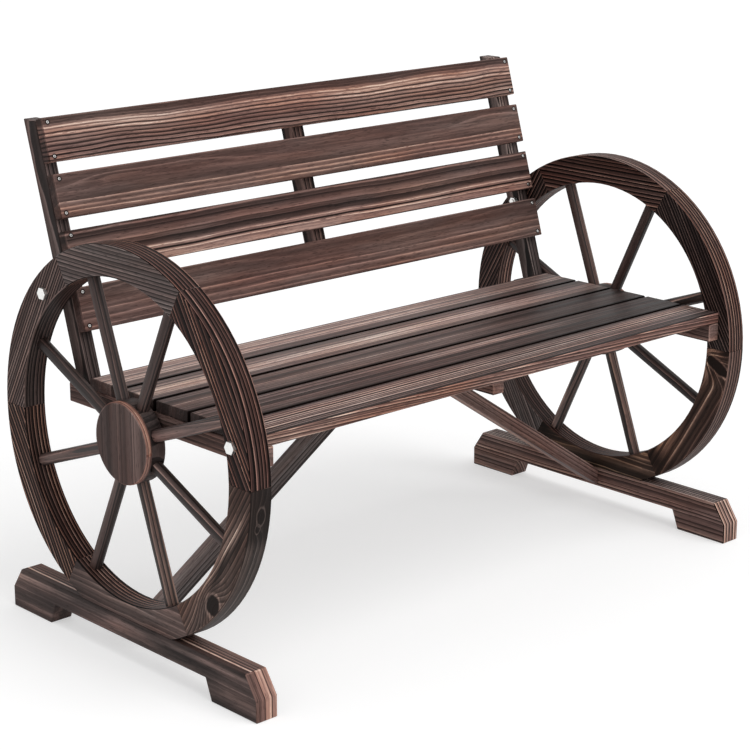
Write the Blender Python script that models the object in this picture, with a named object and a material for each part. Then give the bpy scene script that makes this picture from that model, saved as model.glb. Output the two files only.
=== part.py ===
"""Wagon wheel bench: a slatted two-seat garden bench carried by two fixed wooden wheels.

Lengths are in metres. X runs along the seat, the front faces -Y, Z is up and the floor is at Z = 0.
"""

import math

import bmesh
import bpy
from mathutils import Matrix, Vector

# Clearances and edges
GAP = 0.0003  # between pieces that touch
EDGE = 0.0014  # eased edge of the timbers

# Wheels
BENCH_WIDTH = 1.066  # over the outer faces of the wheels
WHEEL_RADIUS = 0.290
RIM_DEPTH = 0.0475  # outer radius less inner radius
RIM_THICKNESS = 0.038
FELLOE_COUNT = 6
SPOKE_COUNT = 8
SPOKE_DIAMETER = 0.019
SPOKE_OFF_BOLT = math.radians(7.82)  # nearest spoke above the front bolt
JOINT_OFF_BOLTS = math.radians(12.63)  # rim joints past the bolts' mean place in a felloe
RIM_SOCKET = 0.015  # depth of a spoke's socket in the rim
HUB_SOCKET = 0.018  # depth of a spoke's socket in the hub
HUB_RADIUS = 0.0615
HUB_COVER = 0.0095  # thickness of the cover disc
HUB_INSET = 0.0035  # hub's inner face behind the rim's inner face

# Feet
FOOT_LENGTH = 0.591
FOOT_HEIGHT = 0.067
SADDLE = 0.022  # how deep a wheel sits in its foot
END_RUN = 0.023  # sloped end, along the foot
END_DROP = 0.034  # sloped end, downwards
PAD_LENGTH = 0.100
ARCH_HEIGHT = 0.033
ARCH_SLANT = 0.0125

# Seat
SEAT_HEIGHT = 0.3997
SEAT_SETBACK = 0.024  # seat's front edge behind the wheels' foremost point
SEAT_SLAT_COUNT = 5
SEAT_SLAT_WIDTH = 0.074
SEAT_SLAT_GAP = 0.0048
SEAT_SLAT_THICKNESS = 0.0177
RAIL_WIDTH = 0.024
RAIL_HEIGHT = 0.0292
RAIL_TAIL = 0.024  # side rails past the posts' feet
CENTRE_RAIL_SETBACK = 0.029  # centre rail behind the seat's front edge
CENTRE_RAIL_INSET = 0.006  # centre rail's rear end inside the seat's rear edge

# Back
BACK_LEAN = math.radians(16.7)
POST_WIDTH = 0.024
POST_DEPTH = 0.0295
BACK_SLAT_COUNT = 4
BACK_SLAT_WIDTH = 0.0662
BACK_SLAT_GAP = 0.0183
BACK_SLAT_THICKNESS = 0.0165
BACK_SLAT_START = 0.085  # lowest slat above the posts' feet, along the slope
LEFT_POST_RISE = -0.0019  # left post's top above the top slat's upper edge
RIGHT_POST_RISE = 0.0038
BATTEN_INSET = 0.012  # centre batten's ends inside the outer slats' edges

# Braces
BRACE_DEPTH = 0.0285
BRACE_HEIGHT = 0.0238
BRACE_FOOT_TOP = 0.065  # height of a brace's upper edge at the foot

# Bolts and nuts
BOLT_DIAMETER = 0.008
HEAD_FLATS = 0.017  # across flats
HEAD_HEIGHT = 0.006
NUT_FLATS = 0.013
NUT_HEIGHT = 0.0065
BOLT_TAIL = 0.002  # bolt past its nut
BACK_BOLT_INSET = 0.0175  # back bolt's centre outside the rim's inner edge
BACK_BOLT_DEPTH = 0.0107  # back bolt's centre behind the post's front face
FRONT_BOLT_INSET = 0.0158  # front bolt's centre outside the rim's inner edge
FRONT_BOLT_RISE = 0.0075  # front bolt's centre above the seat's underside
FRONT_BOLT_GRIP = 0.042  # front bolt's screw end in the front slat

# Facets
FELLOE_STEPS = 16
SADDLE_STEPS = 12
DOWEL_SIDES = 20
HUB_SIDES = 48
BOLT_SIDES = 24

# Derived places
OUTER_FACE = BENCH_WIDTH / 2
INNER_FACE = OUTER_FACE - RIM_THICKNESS
RIM_MIDDLE = OUTER_FACE - RIM_THICKNESS / 2
RIM_INNER = WHEEL_RADIUS - RIM_DEPTH
AXIS_HEIGHT = FOOT_HEIGHT - SADDLE + WHEEL_RADIUS
HUB_DRUM = RIM_THICKNESS - HUB_COVER - GAP - HUB_INSET
DRUM_X = INNER_FACE + HUB_INSET + HUB_DRUM / 2 - RIM_MIDDLE
COVER_X = OUTER_FACE - HUB_COVER / 2 - RIM_MIDDLE
TIMBER_END = INNER_FACE - GAP
SEAT_FRONT = SEAT_SETBACK - WHEEL_RADIUS
SEAT_REAR = SEAT_FRONT + SEAT_SLAT_COUNT * (SEAT_SLAT_WIDTH + SEAT_SLAT_GAP) - SEAT_SLAT_GAP
SEAT_UNDERSIDE = SEAT_HEIGHT - SEAT_SLAT_THICKNESS
RAIL_TOP = SEAT_UNDERSIDE - GAP
POST_FOOT = SEAT_REAR + GAP
RAIL_REAR = POST_FOOT + POST_DEPTH / math.cos(BACK_LEAN) + RAIL_TAIL
BACK_PITCH = BACK_SLAT_WIDTH + BACK_SLAT_GAP
BACK_TOP = BACK_SLAT_START + BACK_SLAT_COUNT * BACK_PITCH - BACK_SLAT_GAP

# Colours
FELLOE_COLOUR = (0.065, 0.046, 0.038)
SPOKE_COLOUR = (0.052, 0.038, 0.033)
HUB_COLOUR = (0.062, 0.050, 0.043)
FOOT_COLOUR = (0.070, 0.048, 0.038)
FRAME_COLOUR = (0.045, 0.032, 0.029)
SEAT_COLOUR = (0.130, 0.105, 0.095)
BACK_COLOUR = (0.110, 0.072, 0.055)
ZINC_COLOUR = (0.62, 0.62, 0.60)


def shade(name, colour, roughness, metallic=0.0):
    """A material in one plain colour."""
    material = bpy.data.materials.new(name)
    material.use_nodes = True
    inputs = material.node_tree.nodes["Principled BSDF"].inputs
    inputs["Base Color"].default_value = (*colour, 1.0)
    inputs["Roughness"].default_value = roughness
    inputs["Metallic"].default_value = metallic
    return material


def add_loft(form, rings, looped):
    """Skin rings of points, and cap the two ends unless the rings run round in a loop."""
    loops = [[form.verts.new(point) for point in ring] for ring in rings]
    pairs = list(zip(loops, loops[1:]))
    if looped:
        pairs.append((loops[-1], loops[0]))
    else:
        form.faces.new(loops[0])
        form.faces.new(loops[-1])
    for low, high in pairs:
        for here in range(len(low)):
            after = (here + 1) % len(low)
            form.faces.new((low[here], low[after], high[after], high[here]))


def make_mesh(name, lofts, material=None, smooth=False, looped=False):
    """One mesh of closed lofts, facing outwards."""
    form = bmesh.new()
    for rings in lofts:
        add_loft(form, rings, looped)
    bmesh.ops.recalc_face_normals(form, faces=form.faces)
    mesh = bpy.data.meshes.new(name)
    form.to_mesh(mesh)
    form.free()
    if material:
        mesh.materials.append(material)
    if smooth:
        mesh.polygons.foreach_set("use_smooth", [True] * len(mesh.polygons))
        mesh.set_sharp_from_angle(angle=math.radians(30))
    return mesh


def place(name, data, parent, at=(0, 0, 0), turn=(0, 0, 0)):
    """An object set in its parent's frame. With no data it is an empty."""
    obj = bpy.data.objects.new(name, data)
    bpy.context.scene.collection.objects.link(obj)
    obj.parent = parent
    obj.location = at
    obj.rotation_euler = turn
    return obj


def ease_edges(obj):
    """Take the sharpness off a timber's corners."""
    bevel = obj.modifiers.new("eased_edges", "BEVEL")
    bevel.width = EDGE
    bevel.segments = 1
    bevel.limit_method = "ANGLE"
    bevel.angle_limit = math.radians(30)


def bore(obj, cutter):
    """Cut the cutter's sockets and holes out of a piece."""
    cut = obj.modifiers.new("bores", "BOOLEAN")
    cut.operation = "DIFFERENCE"
    cut.solver = "EXACT"
    cut.object = cutter


def extrude_x(outline, low, high):
    """Rings of a prism along X from an outline of (y, z) points."""
    return [[(x, y, z) for y, z in outline] for x in (low, high)]


def extrude_y(outline, low, high):
    """Rings of a prism along Y from an outline of (x, z) points."""
    return [[(x, y, z) for x, z in outline] for y in (low, high)]


def rectangle(low_a, high_a, low_b, high_b):
    return [(low_a, low_b), (high_a, low_b), (high_a, high_b), (low_a, high_b)]


def circle_x(x, radius, sides, centre=(0, 0)):
    """A ring of points round an axis along X."""
    angles = [math.tau * side / sides for side in range(sides)]
    return [(x, centre[0] + radius * math.cos(a), centre[1] + radius * math.sin(a)) for a in angles]


def circle_z(z, radius, x, sides):
    """A ring of points round an upright axis at x."""
    angles = [math.tau * side / sides for side in range(sides)]
    return [(x + radius * math.cos(a), radius * math.sin(a), z) for a in angles]


def hexagon_x(x, flats):
    """A six-sided ring round the X axis, with a flat on top, in as many points as a bolt's ring."""
    ring = []
    for side in range(BOLT_SIDES):
        angle = math.tau * side / BOLT_SIDES
        off_flat = (angle + math.pi / 3) % (math.pi / 3) - math.pi / 6
        radius = flats / 2 / math.cos(off_flat)
        ring.append((x, radius * math.cos(angle), radius * math.sin(angle)))
    return ring


def turn_about_x(rings, angle):
    spin = Matrix.Rotation(angle, 3, "X")
    return [[spin @ Vector(point) for point in ring] for ring in rings]


def angle_of(spot):
    """Angle of a (y, z) place round the wheel, from the level line at the back."""
    return math.atan2(spot[1], spot[0])


def spoke_angles():
    """Spokes keep a set angle from the front bolt, so that their sockets miss its hole."""
    turn = math.tau / SPOKE_COUNT
    first = (angle_of(front_bolt_place()) - SPOKE_OFF_BOLT) % turn
    return [first + turn * spoke for spoke in range(SPOKE_COUNT)]


def joint_angles():
    """Rim joints stand off from both bolts, which lie nearly whole felloes apart."""
    turn = math.tau / FELLOE_COUNT
    front = angle_of(front_bolt_place())
    back = angle_of(back_bolt_place())
    back += turn * round((front - back) / turn)
    first = (front + back) / 2 + JOINT_OFF_BOLTS
    first -= turn * round(first / turn)
    return [first + turn * felloe for felloe in range(FELLOE_COUNT)]


def felloe_rings():
    """Sections of one rim segment, from joint to joint."""
    half = RIM_THICKNESS / 2
    low, high = RIM_INNER, WHEEL_RADIUS
    section = [
        (-half, low + EDGE),
        (EDGE - half, low),
        (half - EDGE, low),
        (half, low + EDGE),
        (half, high - EDGE),
        (half - EDGE, high),
        (EDGE - half, high),
        (-half, high - EDGE),
    ]
    slack = GAP / 2 / RIM_INNER
    span = math.tau / FELLOE_COUNT - 2 * slack
    rings = []
    for step in range(FELLOE_STEPS + 1):
        angle = slack + span * step / FELLOE_STEPS
        rings.append([(x, r * math.cos(angle), r * math.sin(angle)) for x, r in section])
    return rings


def dowel_rings(x, low, high, radius):
    return [circle_z(z, radius, x, DOWEL_SIDES) for z in (low, high)]


def spoke_rings(side):
    """An upright spoke in the hub drum's middle plane, with eased ends."""
    low = HUB_RADIUS - HUB_SOCKET
    high = RIM_INNER + RIM_SOCKET
    radius = SPOKE_DIAMETER / 2
    profile = [(low, radius - EDGE), (low + EDGE, radius), (high - EDGE, radius), (high, radius - EDGE)]
    return [circle_z(z, r, side * DRUM_X, DOWEL_SIDES) for z, r in profile]


def drum_rings():
    half = HUB_DRUM / 2
    profile = [(-half, HUB_RADIUS - EDGE), (EDGE - half, HUB_RADIUS), (half, HUB_RADIUS)]
    return [circle_x(x, r, HUB_SIDES) for x, r in profile]


def cover_rings():
    """The cover disc, with its outer edge rounded over."""
    half = HUB_COVER / 2
    roll = HUB_COVER * 0.35
    profile = [(-half, HUB_RADIUS)]
    for step in range(4):
        angle = math.pi / 2 * step / 3
        x = half - roll + roll * math.sin(angle)
        profile.append((x, HUB_RADIUS - roll + roll * math.cos(angle)))
    return [circle_x(x, r, HUB_SIDES) for x, r in profile]


def bolt_rings(length):
    """A bolt from its tail to its head. The head bears on the plane X = 0 and faces +X."""
    radius = BOLT_DIAMETER / 2
    tail = -length
    worn = HEAD_FLATS * 0.92
    return [
        circle_x(tail, radius - EDGE / 2, BOLT_SIDES),
        circle_x(tail + EDGE / 2, radius, BOLT_SIDES),
        circle_x(0, radius, BOLT_SIDES),
        hexagon_x(0, HEAD_FLATS),
        hexagon_x(HEAD_HEIGHT - EDGE / 2, HEAD_FLATS),
        hexagon_x(HEAD_HEIGHT, worn),
    ]


def nut_rings():
    """A nut from X = 0 towards -X, open along the bolt."""
    inner = BOLT_DIAMETER / 2 + GAP
    return [
        circle_x(0, inner, BOLT_SIDES),
        hexagon_x(0, NUT_FLATS),
        hexagon_x(-NUT_HEIGHT, NUT_FLATS),
        circle_x(-NUT_HEIGHT, inner, BOLT_SIDES),
    ]


def back_bolt_place():
    """(y, z) from the wheel's centre: where a line up the post crosses a circle in the rim."""
    lean = Vector((math.sin(BACK_LEAN), math.cos(BACK_LEAN)))
    across = Vector((math.cos(BACK_LEAN), -math.sin(BACK_LEAN)))
    start = Vector((POST_FOOT, SEAT_UNDERSIDE - AXIS_HEIGHT)) + across * BACK_BOLT_DEPTH
    reach = RIM_INNER + BACK_BOLT_INSET
    along = -start.dot(lean) + math.sqrt(start.dot(lean) ** 2 - start.length_squared + reach**2)
    return start + lean * along


def front_bolt_place():
    """(y, z) from the wheel's centre: in the rim, and in the end of the front seat slat."""
    z = SEAT_UNDERSIDE + FRONT_BOLT_RISE - AXIS_HEIGHT
    reach = RIM_INNER + FRONT_BOLT_INSET
    return Vector((-math.sqrt(reach**2 - z**2), z))


def make_bores(name, side, parent):
    """The cutter for one wheel: all spoke sockets and the two bolt holes."""
    low = HUB_RADIUS - HUB_SOCKET - GAP
    high = RIM_INNER + RIM_SOCKET + GAP
    socket = dowel_rings(side * DRUM_X, low, high, SPOKE_DIAMETER / 2 + GAP)
    lofts = [turn_about_x(socket, angle - math.pi / 2) for angle in spoke_angles()]
    outside = side * RIM_THICKNESS
    radius = BOLT_DIAMETER / 2 + GAP
    holes = ((back_bolt_place(), 2 * POST_WIDTH), (front_bolt_place(), 2 * GAP + FRONT_BOLT_GRIP))
    for centre, depth in holes:
        inside = -side * (RIM_THICKNESS / 2 + depth)
        lofts.append([circle_x(x, radius, BOLT_SIDES, centre) for x in (outside, inside)])
    cutter = place(name, make_mesh(name, lofts), parent)
    cutter.hide_render = True
    cutter.display_type = "WIRE"
    return cutter


def make_wheel(label, side, shades):
    """Rim, spokes and hub of one wheel. Returns the wheel's empty and its cutter."""
    wheel = place(f"{label}_wheel", None, None, (side * RIM_MIDDLE, 0, AXIS_HEIGHT))
    bores = make_bores(f"{label}_bores", side, wheel)
    felloe = make_mesh(f"{label}_felloe", [felloe_rings()], shades["felloe"], smooth=True)
    for number, angle in enumerate(joint_angles()):
        bore(place(f"{label}_felloe_{number + 1}", felloe, wheel, turn=(angle, 0, 0)), bores)
    spoke = make_mesh(f"{label}_spoke", [spoke_rings(side)], shades["spoke"], smooth=True)
    for number, angle in enumerate(spoke_angles()):
        place(f"{label}_spoke_{number + 1}", spoke, wheel, turn=(angle - math.pi / 2, 0, 0))
    facing = (0, 0, 0 if side > 0 else math.pi)
    drum = make_mesh(f"{label}_hub_drum", [drum_rings()], shades["hub"], smooth=True)
    bore(place(f"{label}_hub_drum", drum, wheel, (side * DRUM_X, 0, 0), facing), bores)
    cover = make_mesh(f"{label}_hub_cover", [cover_rings()], shades["hub"], smooth=True)
    place(f"{label}_hub_cover", cover, wheel, (side * COVER_X, 0, 0), facing)
    return wheel, bores


def make_bolts(label, side, wheel, zinc):
    """The back bolt with its nut behind the post, and the front bolt that screws into the front slat."""
    facing = (0, 0, 0 if side > 0 else math.pi)
    head_x = RIM_THICKNESS / 2 + GAP
    nut_x = -(head_x + POST_WIDTH + GAP)
    through = head_x - nut_x + NUT_HEIGHT + BOLT_TAIL
    blind = head_x + RIM_THICKNESS / 2 + GAP + FRONT_BOLT_GRIP
    bolts = (("back", back_bolt_place(), through), ("front", front_bolt_place(), blind))
    for spot, (y, z), length in bolts:
        bolt = make_mesh(f"{label}_{spot}_bolt", [bolt_rings(length)], zinc, smooth=True)
        place(f"{label}_{spot}_bolt", bolt, wheel, (side * head_x, y, z), facing)
    nut = make_mesh(f"{label}_back_nut", [nut_rings()], zinc, smooth=True, looped=True)
    place(f"{label}_back_nut", nut, wheel, (side * nut_x, *back_bolt_place()), facing)


def foot_outline():
    """A foot from the side: two pads, an arch between them, sloped ends and a saddle for the rim."""
    half = FOOT_LENGTH / 2
    rear = [
        (half - PAD_LENGTH - ARCH_SLANT, ARCH_HEIGHT),
        (half - PAD_LENGTH, 0),
        (half, 0),
        (half, FOOT_HEIGHT - END_DROP),
        (half - END_RUN, FOOT_HEIGHT),
    ]
    front = [(-y, z) for y, z in reversed(rear)]
    radius = WHEEL_RADIUS + GAP
    reach = math.acos((AXIS_HEIGHT - FOOT_HEIGHT) / radius)
    saddle = []
    for step in range(SADDLE_STEPS + 1):
        angle = reach * (1 - 2 * step / SADDLE_STEPS)
        saddle.append((radius * math.sin(angle), AXIS_HEIGHT - radius * math.cos(angle)))
    return rear + saddle + front


def make_foot(label, side, wood):
    rings = extrude_x(foot_outline(), -RIM_THICKNESS / 2, RIM_THICKNESS / 2)
    mesh = make_mesh(f"{label}_foot", [rings], wood)
    ease_edges(place(f"{label}_foot", mesh, None, (side * RIM_MIDDLE, 0, 0)))


def make_brace(label, side, wood):
    """A slanting brace from a foot's inner face up to the centre rail's side."""
    low_x, high_x = TIMBER_END, RAIL_WIDTH / 2 + GAP
    slope = (RAIL_TOP - BRACE_FOOT_TOP) / (low_x - high_x)
    rise = BRACE_HEIGHT * math.hypot(1, slope)
    outline = [
        (side * low_x, BRACE_FOOT_TOP - rise),
        (side * high_x, RAIL_TOP - rise),
        (side * high_x, RAIL_TOP),
        (side * low_x, BRACE_FOOT_TOP),
    ]
    mesh = make_mesh(f"{label}_brace", [extrude_y(outline, -BRACE_DEPTH / 2, BRACE_DEPTH / 2)], wood)
    ease_edges(place(f"{label}_brace", mesh, None))


def make_rail(name, x, front, rear, wood, parent):
    """A seat rail centred on x, from its front end to its rear end."""
    outline = rectangle(front, rear, -RAIL_HEIGHT, 0)
    mesh = make_mesh(name, [extrude_x(outline, -RAIL_WIDTH / 2, RAIL_WIDTH / 2)], wood)
    ease_edges(place(name, mesh, parent, (x, 0, 0)))


def make_seat_slats(wood, parent, cutters):
    """The seat's slats, numbered from the front. The first one has the front bolts' holes in its ends."""
    outline = rectangle(0, SEAT_SLAT_WIDTH, GAP, GAP + SEAT_SLAT_THICKNESS)
    mesh = make_mesh("seat_slat", [extrude_x(outline, -TIMBER_END, TIMBER_END)], wood)
    for number in range(SEAT_SLAT_COUNT):
        y = SEAT_FRONT + number * (SEAT_SLAT_WIDTH + SEAT_SLAT_GAP)
        slat = place(f"seat_slat_{number + 1}", mesh, parent, (0, y, 0))
        ease_edges(slat)
        for cutter in cutters if number == 0 else ():
            bore(slat, cutter)


def make_post(name, x, rise, wood, parent):
    """A back post with a level foot and a level top, in the leaning frame of the back."""
    drop = math.tan(BACK_LEAN)
    top = BACK_TOP + rise
    outline = [(0, 0), (POST_DEPTH, POST_DEPTH * drop), (POST_DEPTH, top + POST_DEPTH * drop), (0, top)]
    mesh = make_mesh(name, [extrude_x(outline, -POST_WIDTH / 2, POST_WIDTH / 2)], wood)
    post = place(name, mesh, parent, (x, 0, 0))
    ease_edges(post)
    return post


def make_batten(wood, parent):
    """The centre post is a batten across the back of the slats, square at both ends."""
    outline = rectangle(0, POST_DEPTH, BACK_SLAT_START + BATTEN_INSET, BACK_TOP - BATTEN_INSET)
    mesh = make_mesh("centre_back_post", [extrude_x(outline, -POST_WIDTH / 2, POST_WIDTH / 2)], wood)
    ease_edges(place("centre_back_post", mesh, parent))


def make_back_slats(wood, parent):
    """The back's slats, numbered from the top."""
    outline = rectangle(-GAP - BACK_SLAT_THICKNESS, -GAP, 0, BACK_SLAT_WIDTH)
    mesh = make_mesh("back_slat", [extrude_x(outline, -TIMBER_END, TIMBER_END)], wood)
    for number in range(BACK_SLAT_COUNT):
        z = BACK_TOP - BACK_SLAT_WIDTH - number * BACK_PITCH
        ease_edges(place(f"back_slat_{number + 1}", mesh, parent, (0, 0, z)))


def build_bench():
    for old in list(bpy.data.objects):
        bpy.data.objects.remove(old)
    frame_wood = shade("charred_frame_timber", FRAME_COLOUR, 0.6)
    foot_wood = shade("charred_foot_timber", FOOT_COLOUR, 0.6)
    zinc = shade("zinc_plated_steel", ZINC_COLOUR, 0.3, 1.0)
    wheel_shades = {
        "felloe": shade("charred_rim_timber", FELLOE_COLOUR, 0.6),
        "spoke": shade("charred_dowel", SPOKE_COLOUR, 0.55),
        "hub": shade("charred_hub_timber", HUB_COLOUR, 0.55),
    }
    seat = place("seat", None, None, (0, 0, RAIL_TOP))
    back = place("back", None, None, (0, POST_FOOT, SEAT_UNDERSIDE), (-BACK_LEAN, 0, 0))
    cutters = []
    for label, side, rise in (("left", -1, LEFT_POST_RISE), ("right", 1, RIGHT_POST_RISE)):
        wheel, bores = make_wheel(label, side, wheel_shades)
        cutters.append(bores)
        make_bolts(label, side, wheel, zinc)
        make_foot(label, side, foot_wood)
        make_brace(label, side, frame_wood)
        rail_x = side * (TIMBER_END - RAIL_WIDTH / 2)
        make_rail(f"{label}_seat_rail", rail_x, SEAT_FRONT, RAIL_REAR, frame_wood, seat)
        post_x = side * (TIMBER_END - POST_WIDTH / 2)
        bore(make_post(f"{label}_back_post", post_x, rise, frame_wood, back), bores)
    centre_front = SEAT_FRONT + CENTRE_RAIL_SETBACK
    make_rail("centre_seat_rail", 0, centre_front, SEAT_REAR - CENTRE_RAIL_INSET, frame_wood, seat)
    make_batten(frame_wood, back)
    make_seat_slats(shade("charred_seat_board", SEAT_COLOUR, 0.6), seat, cutters)
    make_back_slats(shade("charred_back_board", BACK_COLOUR, 0.6), back)


build_bench()
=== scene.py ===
"""Looks of the wagon wheel bench: charred and brushed fir with bright zinc bolts and screws."""

import math
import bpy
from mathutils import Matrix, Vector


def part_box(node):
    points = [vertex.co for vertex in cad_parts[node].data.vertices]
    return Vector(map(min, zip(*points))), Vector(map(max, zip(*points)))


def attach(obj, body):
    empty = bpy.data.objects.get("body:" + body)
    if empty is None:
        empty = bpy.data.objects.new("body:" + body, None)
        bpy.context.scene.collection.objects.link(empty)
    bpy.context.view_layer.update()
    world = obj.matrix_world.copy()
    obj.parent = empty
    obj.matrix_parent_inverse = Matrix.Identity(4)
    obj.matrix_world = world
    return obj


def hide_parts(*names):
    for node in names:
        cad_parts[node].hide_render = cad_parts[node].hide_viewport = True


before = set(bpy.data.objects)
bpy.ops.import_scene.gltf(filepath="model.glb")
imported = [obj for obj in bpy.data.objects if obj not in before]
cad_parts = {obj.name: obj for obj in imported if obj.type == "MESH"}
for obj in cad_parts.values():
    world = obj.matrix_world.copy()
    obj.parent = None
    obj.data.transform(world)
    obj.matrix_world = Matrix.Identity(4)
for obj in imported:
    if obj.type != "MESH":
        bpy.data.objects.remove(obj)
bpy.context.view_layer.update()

from types import SimpleNamespace

import bmesh
import bpy
from mathutils import Matrix, Vector

# Directions of the bench
RIGHT = Vector((1, 0, 0))
REAR = Vector((0, 1, 0))
UP = Vector((0, 0, 1))
SIDES = {"left": -1, "right": 1}

# Camera, fitted to the photo's perspective
CAMERA_PLACE = (-2.24067, -2.36266, 1.26929)
CAMERA_AIM = (-0.0336, 0.0, 0.3814)
CAMERA_LENS = 101.904
CAMERA_SENSOR = 36.0
CAMERA_SHIFT = (-0.00091, -0.03382)

# Wheels
WHEEL_AXIS_Z = 0.335
RIM_MIDDLE_X = 0.514
RIM_MIDDLE_RADIUS = 0.266
WHEEL_RADIUS = 0.29
FELLOES = 6
FELLOE_SPAN = 360.0 / FELLOES
BOTTOM_FELLOE = 4
FIRST_SPOKE = 25.0
SPOKES = 8
SPOKE_SPAN = 360.0 / SPOKES

# Feet
FOOT_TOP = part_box("left_foot")[1][2]
SADDLE_EDGE = 0.004
STANDING_GAP = 0.0003

# Screws in the back slats
SCREW_INSET = 0.0102
SCREW_EDGE = 0.0076
SCREW_RADIUS = 0.0024
SCREW_SIDES = 24
SCREW_DOME = 0.0005
SCREW_DEPTH = 0.0022
RECESS_REACH = 0.0016
RECESS_WIDTH = 0.0008
RECESS_DEPTH = 0.0014

# Rounding of the timber's edges
WELD = 0.00001
FLAT_ANGLE = math.radians(0.4)
SHARP_ANGLE = math.radians(24)
ROUNDING = 0.0005
SHORT_EDGE = 0.004
WORN_WIDTH = 0.0022

# Scales of the wood's noises, along, across and through a board
SLOW_SWAY = (3.2, 9.0, 9.0)
QUICK_SWAY = (14.0, 36.0, 36.0)
RAGGED = (60.0, 90.0, 90.0)
PATCHES = (2.4, 16.0, 16.0)
CLOUDS = (6.0, 40.0, 40.0)
STREAKS = (8.0, 280.0, 280.0)
FIBRES = (40.0, 1500.0, 1500.0)
PORES = (70.0, 900.0, 900.0)
SEED_STEP = 13.7

# Tones of the dark long edges (partly charring, partly painted shade of the gaps), knots' hearts and screw
# stains, and where a stain ends
CHAR_AND_GAP_SHADE_TONE = 0.04
HEART_TONE = 0.1
STAIN_TONE = 0.05
STAIN_REACH = (0.0026, 0.005)

# Floor and light
FLOOR_HALF = 12.0
FLOOR_GREY = (0.8, 0.8, 0.8, 1.0)
FLOOR_SEEN_GREY = (0.62, 0.62, 0.62, 1.0)
FLOOR_GLOW = 0.48
WHITE = (1.0, 1.0, 1.0, 1.0)
WORLD_LIGHT = 0.55


def tint(red, green, blue):
    """A colour of the screen, from 0 to 255, as the shader's linear colour."""
    screen = [value / 255 for value in (red, green, blue)]
    return [((s + 0.055) / 1.055) ** 2.4 if s > 0.04045 else s / 12.92 for s in screen] + [1.0]


# Node helpers
def join(tree, value, socket):
    if isinstance(value, bpy.types.NodeSocket):
        tree.links.new(value, socket)
    else:
        socket.default_value = value


def put(tree, kind, inputs=None, **settings):
    node = tree.nodes.new("ShaderNode" + kind)
    for name, value in settings.items():
        setattr(node, name, value)
    for name, value in (inputs or {}).items():
        join(tree, value, node.inputs[name])
    return node


def calc(tree, operation, *values):
    return put(tree, "Math", dict(enumerate(values)), operation=operation).outputs[0]


def add(tree, *values):
    total = values[0]
    for value in values[1:]:
        total = calc(tree, "ADD", total, value)
    return total


def times(tree, *values):
    product = values[0]
    for value in values[1:]:
        product = calc(tree, "MULTIPLY", product, value)
    return product


def about(tree, value, middle, spread):
    """A factor round the middle that follows a noise from 0 to 1."""
    return calc(tree, "MULTIPLY_ADD", value, 2 * spread, middle - spread)


def length(tree, first, second):
    squares = calc(tree, "MULTIPLY_ADD", first, first, times(tree, second, second))
    return calc(tree, "SQRT", squares)


def noise(tree, board, factors, detail=2.0):
    """Noise from 0 to 1, with its own scale along, across and through the board."""
    place = put(tree, "VectorMath", {0: board.place, 1: factors}, operation="MULTIPLY").outputs[0]
    inputs = {"Vector": place, "W": board.seed, "Scale": 1.0, "Detail": detail}
    return put(tree, "TexNoise", inputs, noise_dimensions="4D").outputs["Fac"]


def ease(tree, value, low, high, to_low=0.0, to_high=1.0):
    inputs = {"Value": value, "From Min": low, "From Max": high, "To Min": to_low, "To Max": to_high}
    return put(tree, "MapRange", inputs, interpolation_type="SMOOTHSTEP").outputs[0]


def blend(tree, share, first, second):
    node = put(tree, "Mix", data_type="RGBA")
    join(tree, share, node.inputs[0])
    join(tree, first, node.inputs[6])
    join(tree, second, node.inputs[7])
    return node.outputs[2]


def mix(tree, share, first, second):
    node = put(tree, "Mix", data_type="FLOAT")
    join(tree, share, node.inputs[0])
    join(tree, first, node.inputs[2])
    join(tree, second, node.inputs[3])
    return node.outputs[0]


def ramp(tree, value, stops):
    """A colour ramp whose first stop is at 0 and whose last is at 1."""
    node = put(tree, "ValToRGB", {"Fac": value})
    points = node.color_ramp.elements
    points[0].color = stops[0][1]
    points[1].color = stops[-1][1]
    for place, colour in stops[1:-1]:
        points.new(place).color = colour
    return node.outputs["Color"]


# Charred wood: tones from ink to bare copper
TONES = (
    (0.0, tint(13, 7, 6)),
    (0.2, tint(45, 32, 29)),
    (0.4, tint(87, 63, 57)),
    (0.6, tint(133, 98, 88)),
    (0.8, tint(184, 137, 118)),
    (1.0, tint(238, 203, 182)),
)

PLAIN_LOOK = {
    "pitch": 0.006,  # width of a growth ring
    "pith": (-0.25, -0.04),  # place of the pith line, across and through the board
    "uneven": 1.8,  # how unevenly the rings are spaced
    "wave": 0.012,  # how far the grain sways
    "slope": 0.0,  # how far the pith line dips along the board
    "lines": 0.8,  # strength of the rings
    "soft": 0.0,  # from 0 for crisp rings to 1 for a soft swell
    "fade": None,  # heights between which the rings fade out
    "bands": ((0.0, 0.42), (1.0, 0.42)),  # tones across the board, from edge to edge
    "stripes": None,  # even dark lines: first, pitch, count, width and depth
    "drift": 0.3,  # strength of broad patches
    "dusk": None,  # darkening along the board: from, to and what is left
    "blotch": 0.0,  # strength of small clouds
    # dark long edges: partly charring, partly painted shade of the gaps between boards
    "burnt": None,  # reach of the dark long edges
    "wear": 0.14,  # how much lighter the worn edges are
    "ash": 0.2,  # greyness
    "amber": 0.0,  # shift of hue to bronze
    "grain": 1.0,  # strength of streaks and fibres
    "ends": 1.0,  # tone of the end grain
    "end_lines": 1.0,  # strength of the rings on the end grain
    "gloss": 0.05,  # shine
    "knots": (),  # each one's place along and across, reach, radius and darkness
    "screws": None,  # place of the screws from the board's middle
    "flares": (),  # each streak's place along and across, reach, width and gain
}


def shaded(bands, factor):
    return [(place, tone * factor) for place, tone in bands]


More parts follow.
